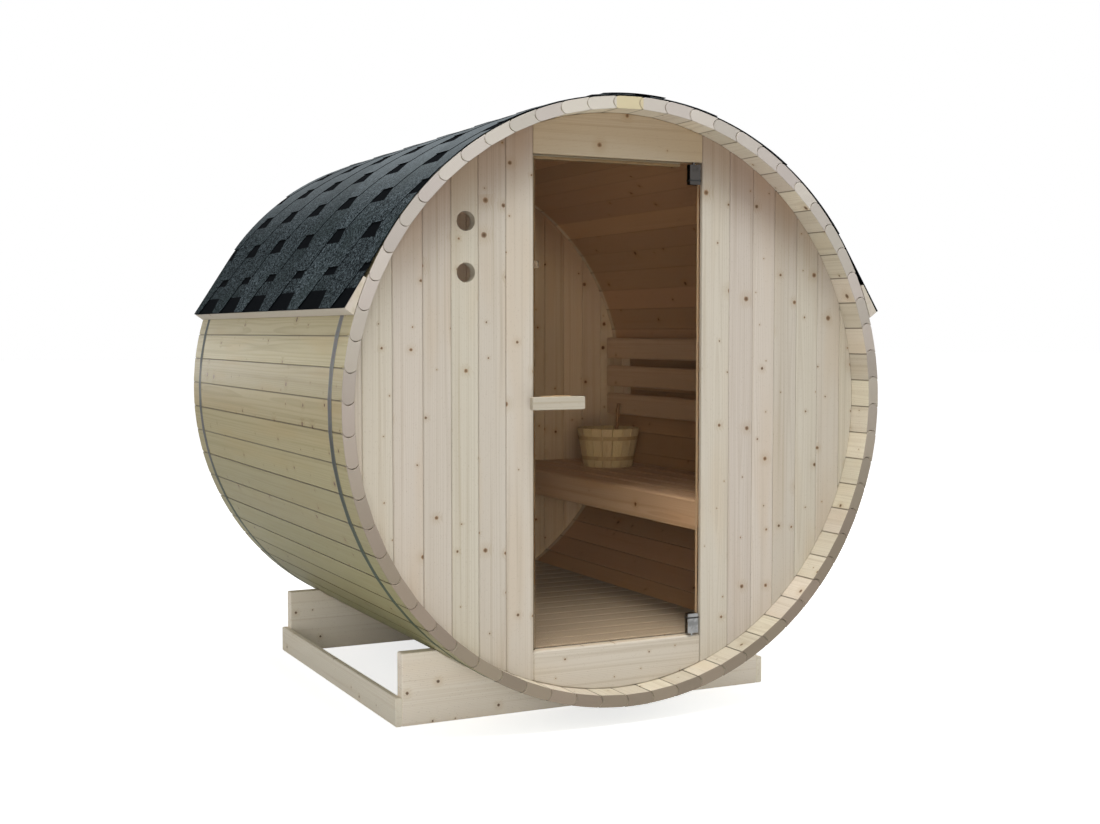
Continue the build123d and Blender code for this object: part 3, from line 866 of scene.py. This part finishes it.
def front_boards(finish, header_finish, lath_finish):
    """The front wall: upright boards beside the doorway, and level planks over and under it."""
    low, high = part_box("front_wall_left")
    timber = Timber(board_ease)
    stand_boards(timber, left_board_edges, low, high)
    stand_boards(timber, right_board_edges, low, high)
    piece = timber.piece("front_wall_boards")
    for x, z in vent_places:
        drill = bmesh.new()
        turned = Matrix.Translation((x, low.y, z)) @ Matrix.Rotation(math.pi / 2, 4, "X")
        bmesh.ops.create_cone(drill, cap_ends=True, segments=48, radius1=vent_radius, radius2=vent_radius,
                              depth=4 * (high.y - low.y), matrix=turned)
        cutter = shown("drill", mesh_of(drill, "drill"))
        bore = piece.modifiers.new("bore", "BOOLEAN")
        bore.object = cutter
        bore.solver = "EXACT"
        settled(piece)
        bpy.data.objects.remove(cutter)
    bored = bmesh.new()
    bored.from_mesh(piece.data)
    mark_grain(bored, [vert for vert in bored.verts if vent_board[0] < vert.co.x < vent_board[1]], "Z")
    piece.data = mesh_of(bored, "front_wall_boards")
    fit(piece, "sauna", "wall_wood", "front_wall_left", "front_wall_right", material=finish)
    planks = Timber(sill_ease)
    jamb = right_board_edges[0] - board_gap / 2
    planks.board(upright_outline(-jamb, jamb, head=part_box("front_sill")[1].z), low.y, high.y, "Y", "X")
    fit(planks.piece("sill_plank"), "sauna", "wall_wood", "front_sill", material=finish)
    planks = Timber(board_ease)
    planks.board(upright_outline(-jamb, jamb, foot=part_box("front_header")[0].z), low.y, high.y, "Y", "X")
    fit(planks.piece("header_plank"), "sauna", "wall_wood", "front_header", material=header_finish)
    stops = Timber(lath_ease)
    low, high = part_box("door_stop_strips")
    stops.slab(low, (low.x + lath_width, high.y, high.z - lath_width - lath_gap), "Z")
    stops.slab((low.x, low.y, high.z - lath_width), high, "X")
    fit(stops.piece("door_stop_laths"), "sauna", "wall_wood", "door_stop_strips", material=lath_finish)


def rear_boards(finish):
    """The rear wall of upright boards."""
    low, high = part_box("rear_wall")
    timber = Timber(board_ease)
    half_count = int(wall_radius / rear_board_width)
    edges = [place * rear_board_width for place in range(-half_count, half_count + 1)]
    stand_boards(timber, [left_board_edges[0], *edges, right_board_edges[-1]], low, high)
    fit(timber.piece("rear_wall_boards"), "sauna", "wall_wood", "rear_wall", material=finish)


def floor_planks(finish):
    """Floor boards laid across the cabin, cut at their ends to the barrel."""
    low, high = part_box("floor_boards")
    pitch = (high.y - low.y + floor_gap) / floor_count
    reach = inner_radius - floor_clearance
    lower, upper = (level - axis_height for level in (low.z, high.z))
    lower_half, upper_half = (math.sqrt(reach**2 - level**2) for level in (lower, upper))
    outline = ((-lower_half, lower), (lower_half, lower), (upper_half, upper), (-upper_half, upper))
    floor = Timber(floor_ease)
    floor.board(outline, low.y, low.y + pitch - floor_gap, "Y", "X")
    piece = floor.piece("floor_planks")
    grown(piece, board_row, count=floor_count, step=(0, pitch, 0), wander=(0, 0.0008, 0.0003),
          place=(0, 0, axis_height), seed=23, finish=finish)
    fit(piece, "sauna", "inner_wood", "floor_boards")


def slat_row(name, node, axis, count, gap, wander, seed, finish):
    """A row of equal slats with gaps between them, in place of a CAD node."""
    low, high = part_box(node)
    pitch = (high[axis] - low[axis] + gap) / count
    far = list(high)
    far[axis] = low[axis] + pitch - gap
    step = [0.0, 0.0, 0.0]
    step[axis] = pitch
    slat = Timber(slat_ease)
    slat.slab(low, far, "Y")
    piece = slat.piece(name)
    grown(piece, board_row, count=count, step=step, wander=wander, seed=seed, finish=finish)
    fit(piece, "sauna", "inner_wood", node)


def bench(finish):
    """The bench's slats, the slats of its backrest and the board below its front edge."""
    slat_row("bench_planks", "bench_slats", axis=0, count=5, gap=0.012, wander=(0, 0, 0.0003), seed=31,
             finish=finish)
    slat_row("backrest_planks", "backrest_slats", axis=2, count=3, gap=0.031, wander=(0.0004, 0, 0), seed=47,
             finish=finish)
    front = Timber(slat_ease)
    front.slab(*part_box("bench_front_board"), "Y")
    fit(front.piece("bench_apron"), "sauna", "inner_wood", "bench_front_board", material=finish)


def door_handles(finish):
    """The bar outside the glass on its spacer, and the grip inside."""
    low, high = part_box("door_handle")
    spacer_start, spacer_end = spacer_ends
    bar = Timber(bar_ease)
    bar.slab(low, (high.x, low.y + bar_thickness, high.z), "X")
    bar.slab((low.x + spacer_start, low.y + bar_thickness - spacer_inset, low.z + spacer_inset),
             (low.x + spacer_end, high.y, high.z - spacer_inset), "X")
    fit(bar.piece("door_bar"), "door", "handle_wood", "door_handle", material=finish)
    grip = Timber(grip_ease)
    grip.slab(*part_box("door_inner_handle"), "X")
    fit(grip.piece("door_grip"), "door", "handle_wood", "door_inner_handle", material=finish)


def water_bucket(wood, hoop_wood):
    """A coopered bucket: a ring of tapered staves, a bottom and two hoops."""
    low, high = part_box("water_bucket")
    middle = (low + high) / 2
    height = high.z - low.z
    count = 18
    wall = 0.013
    base_radius, top_radius, bottom_radius = 0.102, 0.130, 0.094
    joint_gap = 0.0009
    stave_edge_ease, bottom_ease = 0.0012, 0.002
    bottom_lift = 0.001
    hoop_feet, hoop_width = (0.030, 0.112), 0.016
    hoop_inside, hoop_outside = 0.0002, 0.0016
    half = math.pi / count
    shape = bmesh.new()
    plank = shape.verts.layers.float_vector.new("plank")
    rings = []
    for rise, outer in ((0.0, base_radius), (height, top_radius)):
        ring = []
        for radius, side in ((outer, -1), (outer, 1), (outer - wall, 1), (outer - wall, -1)):
            x = side * (radius * math.sin(half) - joint_gap)
            vert = shape.verts.new((x, -radius * math.cos(half), rise))
            vert[plank] = Vector((x, rise, -radius))
            ring.append(vert)
        rings.append(ring)
    loft(shape, rings)
    bmesh.ops.bevel(shape, geom=shape.edges[:], offset=stave_edge_ease, segments=1, affect="EDGES")
    piece = shown("bucket_staves", mesh_of(shape, "bucket_stave"))
    grown(piece, board_row, count=count, turn=(0, 0, 2 * half), first_turn=(0, 0, half),
          wander=(0, 0.0004, 0), place=(middle.x, middle.y, low.z), seed=61, finish=wood)
    fit(piece, "sauna", "inner_wood", "water_bucket")

    def circle(radius):
        """Points round the bucket, one to a stave."""
        angles = [2 * half * number for number in range(count)]
        return [(middle.x + radius * math.cos(a), middle.y + radius * math.sin(a)) for a in angles]

    bottom = Timber(bottom_ease)
    bottom.board(circle(bottom_radius), low.z + bottom_lift, low.z + wall, "Z", "X")
    fit(bottom.piece("bucket_bottom"), "sauna", "inner_wood", material=wood)
    hoops = bmesh.new()
    for foot in hoop_feet:
        head = foot + hoop_width
        loops = []
        section = ((foot, hoop_inside), (foot, hoop_outside), (head, hoop_outside), (head, hoop_inside))
        for rise, proud in section:
            radius = base_radius + (top_radius - base_radius) * rise / height + proud
            loops.append([hoops.verts.new((x, y, low.z + rise)) for x, y in circle(radius)])
        loft(hoops, loops, closed=True)
    fit(shown("bucket_hoops", mesh_of(hoops, "bucket_hoops")), "sauna", "inner_wood", material=hoop_wood)


def roof_place(distance, height):
    """Where a point of the flat roof sheet lies: at a distance from the ridge and a height above the deck."""
    angle = min(distance, roof_arc) / roof_radius
    run = max(distance - roof_arc, 0.0)
    x = (roof_radius + height) * math.sin(angle) + run * math.cos(angle)
    z = (roof_radius + height) * math.cos(angle) - run * math.sin(angle)
    return x, z


def flat_row(rise, half, height, mark):
    """A row of a flat sheet: its two edges below, its two edges above and the mark of its upper side."""
    levels = (height, height + shingle_thickness)
    below, above = ([(rise, y, level) for y in (-half, half)] for level in levels)
    return below, above, mark


def sheet(rows, name):
    """A closed sheet from rows of edges below, edges above and a mark, with a black underside."""
    shape = bmesh.new()
    rise_mark = shape.verts.layers.float.new("rise")
    under = []
    over = []
    for below, above, mark in rows:
        under.append([shape.verts.new(place) for place in below])
        over.append([shape.verts.new(place) for place in above])
        for vert in under[-1]:
            vert[rise_mark] = surface_marks["underside"]
        for vert in over[-1]:
            vert[rise_mark] = mark
    for index in range(len(rows) - 1):
        for side in (under, over):
            shape.faces.new((*side[index], *reversed(side[index + 1])))
        for edge in (0, 1):
            below = (under[index][edge], under[index + 1][edge])
            shape.faces.new((*below, over[index + 1][edge], over[index][edge]))
    for index in (0, -1):
        shape.faces.new((*under[index], *reversed(over[index])))
    return mesh_of(shape, name)


def shingle_tab():
    """One tab of a course with its share of the band above, flat, with its foot at zero."""
    places = []
    for step in range(tab_steps):
        share = step / (tab_steps - 1)
        places.append((slot_depth * share, (tab_foot + (tab_shoulder - tab_foot) * share) / 2))
    for step in range(tab_steps + 1):
        rise = slot_depth + (shingle_height - slot_depth) * step / tab_steps + slot_step
        places.append((rise, tab_pitch / 2 - tab_side_gap))
    rows = [flat_row(rise, half, tab_lift * (1 - rise / shingle_height), rise) for rise, half in places]
    return sheet(rows, "shingle_tab")


def starter_strips():
    """The strip under the first course, bare at the eave and again above its granules."""
    strips = []
    for low, high, surface in starter_bands:
        rises = [low + (high - low) * step / starter_steps for step in range(starter_steps + 1)]
        rows = [flat_row(rise, barrel_length / 2, starter_lift, surface_marks[surface]) for rise in rises]
        strips.append(sheet(rows, "starter"))
    return strips


def trim(shape, place, normal):
    """Cut off what lies beyond a plane and close the cut."""
    everything = shape.verts[:] + shape.edges[:] + shape.faces[:]
    bmesh.ops.bisect_plane(shape, geom=everything, plane_co=place, plane_no=normal, clear_outer=True)
    open_edges = [edge for edge in shape.edges if edge.is_boundary]
    bmesh.ops.holes_fill(shape, edges=open_edges, sides=0)


def roof_shingles(finish):
    """Both slopes of lapped shingles, wrapped over the roof's curve and trimmed at its ends."""
    piece = shown("roof_shingles", shingle_tab())
    grown(piece, shingle_tree(), courses=course_count, tabs=tab_count, exposure=course_exposure,
          pitch=tab_pitch, first=even_course_phase - columns_before_middle * tab_pitch,
          stagger=-tab_pitch / 2, looseness=0.003, seed=3, finish=finish)
    flat = bmesh.new()
    for mesh in (piece.data, *starter_strips()):
        flat.from_mesh(mesh)
    trim(flat, (0, rear_rim, 0), (0, 1, 0))
    trim(flat, (0, front_rim, 0), (0, -1, 0))
    trim(flat, (roof_path, 0, 0), (1, 0, 0))
    for vert in flat.verts:
        x, z = roof_place(roof_path - vert.co.x, vert.co.z)
        vert.co = Vector((-x, vert.co.y, axis_height + z))
    bmesh.ops.recalc_face_normals(flat, faces=flat.faces)
    twin = bmesh.ops.duplicate(flat, geom=flat.verts[:] + flat.edges[:] + flat.faces[:])["geom"]
    twin_verts = [part for part in twin if isinstance(part, bmesh.types.BMVert)]
    bmesh.ops.rotate(flat, verts=twin_verts, cent=(0, 0, 0), matrix=Matrix.Rotation(math.pi, 3, "Z"))
    piece.data = mesh_of(flat, "roof_shingles")
    fit(piece, "sauna", "shingle", "roof_left_courses", "roof_right_courses", material=finish)


def ridge_tiles(finish):
    """Short shingles bent over the ridge, each lapping the one behind it."""
    rows = []
    for step in range(ridge_steps + 1):
        angle = ridge_half_width / ridge_radius * (2 * step / ridge_steps - 1)
        levels = []
        for offset in (0.0, shingle_thickness):
            edges = []
            for y, lift in ((front_rim, ridge_tile_lift), (front_rim + ridge_tile_length, 0.0)):
                radius = ridge_radius + lift + offset
                edges.append((radius * math.sin(angle), y, radius * math.cos(angle)))
            levels.append(edges)
        rows.append((*levels, surface_marks["granules"]))
    piece = shown("ridge_shingles", sheet(rows, "ridge_tile"))
    grown(piece, board_row, count=ridge_tile_count, step=(0, ridge_tile_step, 0), wander=(0.002, 0, 0.0002),
          place=(0, 0, axis_height), seed=83, finish=finish)
    ridge = bmesh.new()
    ridge.from_mesh(piece.data)
    trim(ridge, (0, rear_rim, 0), (0, 1, 0))
    piece.data = mesh_of(ridge, "ridge_shingles")
    fit(piece, "sauna", "shingle", "roof_ridge_cap", material=finish)


def cradle(finish):
    """Two cross boards hollowed to the barrel, and a board across their ends at each side."""
    shoulder = axis_height - cradle_height
    reach = math.sqrt(saddle_radius**2 - shoulder**2)
    start = math.atan2(-shoulder, reach)
    saddle = arc(saddle_radius, start, -math.pi - start, saddle_steps)
    outline = [(-cradle_half_width, 0), (cradle_half_width, 0), (cradle_half_width, cradle_height), *saddle,
               (-cradle_half_width, cradle_height)]
    timber = Timber(cradle_ease)
    for node in ("cradle_front_board", "cradle_rear_board"):
        low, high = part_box(node)
        timber.board(outline, low.y, high.y, "Y", "X")
    for node in ("cradle_left_board", "cradle_right_board"):
        timber.slab(*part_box(node), "Y")
    fit(timber.piece("cradle_timbers"), "sauna", "cradle_wood", "cradle_front_board", "cradle_rear_board",
        "cradle_left_board", "cradle_right_board", material=finish)


def hinge_gaskets(finish):
    """A dark gasket round each hinge clamp, near the end that faces the middle of the door."""
    low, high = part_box("hinge_clamps")
    timber = Timber(gasket_ease)
    feet = (low.z + clamp_height - lower_gasket_inset, high.z - clamp_height + upper_gasket_inset)
    for foot in feet:
        timber.slab((low.x - gasket_proud, low.y - gasket_proud, foot),
                    (high.x + gasket_proud, high.y + gasket_proud, foot + gasket_height), "X")
    fit(timber.piece("hinge_gaskets"), "door", "hinge_metal", material=finish)


def studio():
    """A pale floor, soft light from above the door and a camera where the photograph was taken."""
    scene = bpy.context.scene
    scene.view_settings.view_transform = "Standard"
    floor = bmesh.new()
    bmesh.ops.create_grid(floor, x_segments=1, y_segments=1, size=floor_size)
    plane = shown("studio_floor", mesh_of(floor, "studio_floor"))
    paper = Finish("studio_paper")
    glow = paper.mix(paper.seen("Is Camera Ray", "Is Transmission Ray"), (0.0, 0.0, 0.0), floor_glow)
    paper.set(base_color=(0.80, 0.80, 0.80), roughness=0.9, emission_color=glow, emission_strength=1.0)
    plane.data.materials.append(paper.material)
    world = bpy.data.worlds.new("studio_air")
    world.use_nodes = True
    scene.world = world
    air = Graph(world.node_tree)
    backdrop = world.node_tree.nodes["Background"]
    air.feed(backdrop.inputs["Color"], (1.0, 1.0, 1.0))
    seen = air.seen("Is Camera Ray", "Is Glossy Ray", "Is Transmission Ray")
    air.feed(backdrop.inputs["Strength"], air_light + (1 - air_light) * seen)
    for name, place, size, power in lamps:
        lamp = bpy.data.lights.new(name, "AREA")
        lamp.shape = "DISK"
        lamp.size = size
        lamp.energy = power
        hung = bpy.data.objects.new(name, lamp)
        hung.location = place
        hung.rotation_euler = (lamp_target - hung.location).to_track_quat("-Z", "Y").to_euler()
        scene.collection.objects.link(hung)
    lens = bpy.data.cameras.new("camera")
    lens.lens = camera_lens
    lens.sensor_width = camera_sensor
    lens.sensor_fit = "HORIZONTAL"
    camera = bpy.data.objects.new("camera", lens)
    camera.location = camera_place
    camera.rotation_euler = camera_turn
    scene.collection.objects.link(camera)
    scene.camera = camera


board_row = board_row_tree()
stave_finish = stave_spruce()
# The end walls and the header plank carry painted shade under the rim's overhang.
wall_finish = bare_spruce("wall_spruce", knot_share=0.68, steam_stain=(0.60, 0.495, 0.43))
cabin_finish = spruce("cabin_spruce", (0.575, 0.49, 0.41), (0.42, 0.33, 0.25), (0.54, 0.41, 0.295),
                      knot_share=0.42)
cradle_finish = spruce("cradle_spruce", (0.92, 0.86, 0.75), (0.76, 0.67, 0.54), (0.87, 0.77, 0.63),
                       knot_share=0.5)
bucket_finish = spruce("bucket_spruce", (0.60, 0.55, 0.39), (0.45, 0.395, 0.265), (0.57, 0.49, 0.33),
                       knot_share=0.1)
floor_finish = spruce("floor_spruce", (0.40, 0.415, 0.412), (0.295, 0.292, 0.275), (0.375, 0.36, 0.33),
                      knot_share=0.3)
hoop_finish = spruce("hoop_spruce", (0.44, 0.385, 0.25), (0.34, 0.28, 0.17), (0.42, 0.345, 0.21),
                     knot_share=0.0, grain="Z")
header_finish = spruce("header_spruce", (0.56, 0.485, 0.365), (0.43, 0.355, 0.245), (0.53, 0.44, 0.305),
                       knot_share=0.3, steam_stain=(0.82, 0.75, 0.68))
# Painted shade: the stop laths are spruce coloured much darker, standing in for the shade behind the glass.
lath_finish = spruce("lath_spruce", (0.20, 0.185, 0.145), (0.15, 0.13, 0.095), (0.18, 0.155, 0.11),
                     knot_share=0.0)
handle_finish = spruce("handle_spruce", (0.455, 0.42, 0.345), (0.36, 0.315, 0.24), (0.44, 0.385, 0.295),
                       knot_share=0.0)
ladle_finish = spruce("ladle_spruce", (0.30, 0.205, 0.125), (0.22, 0.145, 0.085), (0.27, 0.175, 0.10),
                      knot_share=0.0, grain="Z")
shingle_finish = granulated_shingle()
strap_finish = strap_steel()
chrome_finish = hinge_chrome()

staves(stave_finish)
front_boards(wall_finish, header_finish, lath_finish)
rear_boards(wall_finish)
floor_planks(floor_finish)
bench(cabin_finish)
door_handles(handle_finish)
water_bucket(bucket_finish, hoop_finish)
roof_shingles(shingle_finish)
ridge_tiles(shingle_finish)
cradle(cradle_finish)
hinge_gaskets(gasket_rubber())
coat(strap_finish, "front_hoop", "rear_hoop")
coat(chrome_finish, "hinge_clamps", "hinge_pivots", "door_catch")
coat(bronze_glass(), "door_glass")
coat(bare_spruce("eave_spruce", grain="Y"), "left_eave_strip", "right_eave_strip")
coat(bare_spruce("bearer_spruce", grain="Y"), "floor_bearers")
coat(bare_spruce("cross_bearer_spruce", grain="X"), "bench_bearers")
coat(bare_spruce("post_spruce", grain="Z"), "backrest_posts")
coat(ladle_finish, "water_ladle")
studio()
